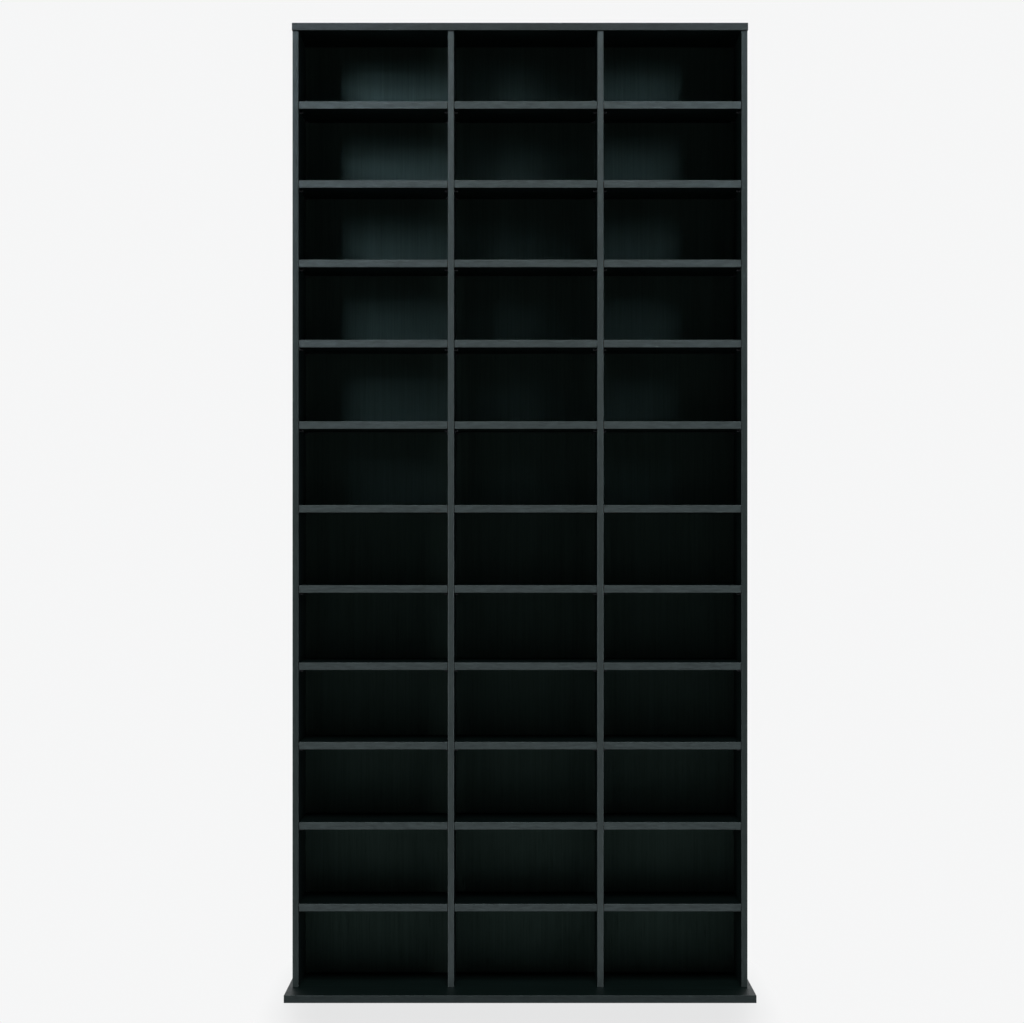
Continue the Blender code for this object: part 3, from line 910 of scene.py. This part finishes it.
# Studio
def make_floor():
    """Adds a floor that shows white, with a painted soft shadow round the object over its real
    one.
    """
    bm = bmesh.new()
    bmesh.ops.create_grid(bm, x_segments=1, y_segments=1, size=FLOOR_SIZE / 2)
    material, tree, shader = new_material("floor", specular=FLOOR_SPECULAR,
                                          roughness=FLOOR_ROUGHNESS)
    shader.inputs["Base Color"].default_value = FLOOR_COLOUR
    place = add_node(tree, "ShaderNodeNewGeometry")
    apart = add_node(tree, "ShaderNodeSeparateXYZ")
    feed(tree, apart.inputs["Vector"], place.outputs["Position"])
    fourth_powers = []
    for axis, half in zip("XY", FLOOR_PAINTED_SHADE_HALF):
        part = reckon(tree, "DIVIDE", apart.outputs[axis], half)
        square = reckon(tree, "MULTIPLY", part, part)
        fourth_powers.append(reckon(tree, "MULTIPLY", square, square))
    # Inside the rounded rectangle the glow drops to its share: the painted shadow round the
    # object
    far = add_node(tree, "ShaderNodeMapRange", clamp=True, interpolation_type="SMOOTHSTEP")
    far.inputs["From Min"].default_value, far.inputs["From Max"].default_value = FLOOR_FADE
    far.inputs["To Min"].default_value = FLOOR_GLOW_SHARE
    feed(tree, far.inputs["Value"], reckon(tree, "ADD", *fourth_powers))
    glow = add_node(tree, "ShaderNodeEmission")
    glow.inputs["Color"].default_value = WHITE
    path = add_node(tree, "ShaderNodeLightPath")
    near = remap(tree, apart.outputs["Y"], *FLOOR_MIRRORED_FADE)
    near = reckon(tree, "MULTIPLY", near, FLOOR_MIRRORED_SHARE)
    mirrored = reckon(tree, "MULTIPLY", path.outputs["Is Glossy Ray"], near)
    seen = reckon(tree, "MAXIMUM", path.outputs["Is Camera Ray"], mirrored)
    seen = reckon(tree, "MAXIMUM", seen, path.outputs["Is Transmission Ray"])
    mix = add_node(tree, "ShaderNodeMixShader")
    feed(tree, mix.inputs["Fac"], reckon(tree, "MULTIPLY", seen, far.outputs["Result"]))
    feed(tree, mix.inputs[1], shader.outputs["BSDF"])
    feed(tree, mix.inputs[2], glow.outputs["Emission"])
    feed(tree, tree.nodes["Material Output"].inputs["Surface"], mix.outputs["Shader"])
    floor = bpy.data.objects.new("floor", to_mesh(bm, "floor", [material]))
    floor.location = (0, 0, -FLOOR_DROP)
    bpy.context.scene.collection.objects.link(floor)


def make_world():
    """Makes surroundings that show white, pale behind the object and dim in front of it."""
    world = bpy.data.worlds.new("studio")
    bpy.context.scene.world = world
    world.use_nodes = True
    tree = world.node_tree
    where = add_node(tree, "ShaderNodeTexCoord")
    apart = add_node(tree, "ShaderNodeSeparateXYZ")
    feed(tree, apart.inputs["Vector"], where.outputs["Generated"])
    behind = remap(tree, apart.outputs["Y"], *WORLD_TURN)
    path = add_node(tree, "ShaderNodeLightPath")
    lit = colours(tree, behind, (0.0, DIM_FRONT), (1.0, DIM_REAR))
    mirrored = colours(tree, behind, (0.0, MIRRORED_FRONT), (1.0, MIRRORED_REAR))
    for ray, colour in (("Is Glossy Ray", mirrored), ("Is Camera Ray", WHITE),
                        ("Is Transmission Ray", WHITE)):
        mix = add_node(tree, "ShaderNodeMix", data_type="RGBA")
        feed(tree, mix.inputs["Factor"], path.outputs[ray])
        feed(tree, mix.inputs[MIX_FIRST], lit)
        feed(tree, mix.inputs[MIX_SECOND], colour)
        lit = mix.outputs[MIX_RESULT]
    feed(tree, tree.nodes["Background"].inputs["Color"], lit)


def add_lamp(name, place, aim, size, power, spread, colour=PLAIN_LIGHT):
    """Adds a soft lamp that looks at a point, its beam no wider than its spread."""
    data = bpy.data.lights.new(name, "AREA")
    data.shape = "RECTANGLE"
    data.size, data.size_y = size
    data.energy = power
    data.spread = math.radians(spread)
    data.color = colour
    lamp = bpy.data.objects.new(name, data)
    lamp.location = place
    lamp.rotation_euler = (Vector(aim) - Vector(place)).to_track_quat("-Z", "Y").to_euler()
    bpy.context.scene.collection.objects.link(lamp)


def add_bank(name, middle, aim, powers):
    """Adds a bank of narrow lamps on one point, in rows of these powers from the lowest up."""
    across_bank = (Vector(aim) - Vector(middle)).to_track_quat("-Z", "Y")
    for column in range(BANK_COLUMNS):
        for row, power in enumerate(powers):
            offset = Vector(((column - (BANK_COLUMNS - 1) / 2) * BANK_STEP[0],
                             (row - (len(powers) - 1) / 2) * BANK_STEP[1], 0.0))
            add_lamp(f"{name}_{column}_{row}", Vector(middle) + across_bank @ offset, aim,
                     BANK_LAMP, power, BANK_SPREAD, PALE_BLUE)


def make_camera():
    """Adds the camera, level and straight in front."""
    data = bpy.data.cameras.new("camera")
    data.lens = CAMERA_LENS
    data.sensor_width = CAMERA_SENSOR
    data.shift_y = CAMERA_SHIFT
    data.clip_end = CAMERA_FAR
    camera = bpy.data.objects.new("camera", data)
    camera.location = CAMERA_PLACE
    camera.rotation_euler = (math.pi / 2, 0, 0)
    bpy.context.scene.collection.objects.link(camera)
    bpy.context.scene.camera = camera


def main():
    """Builds the dressed object and the studio round it."""
    bpy.context.scene.view_settings.view_transform = "Standard"
    materials = make_materials()
    uprights, bays = across()
    for name, (left, right) in uprights.items():
        add_upright(name, left, right, materials)
    add_end_board("top", TOP_LOW, TOP_HIGH, bays, uprights, materials)
    add_end_board("base", BASE_LOW, BASE_HIGH, bays, uprights, materials)
    cam = make_cam_mesh(materials["zinc"])
    for bay in bays:
        add_back(bay, materials)
        for row in range(1, SHELF_COUNT + 1):
            add_shelf(bay, row, materials)
        add_cams(bay, cam)
    for upright in uprights.items():
        add_pins(upright, materials["pin"])
        add_bolts(upright, materials["bolt"])
    add_screws(uprights, materials)
    make_floor()
    make_world()
    for lamp in LAMPS:
        add_lamp(*lamp)
    for bank in BANKS:
        add_bank(*bank)
    make_camera()


main()
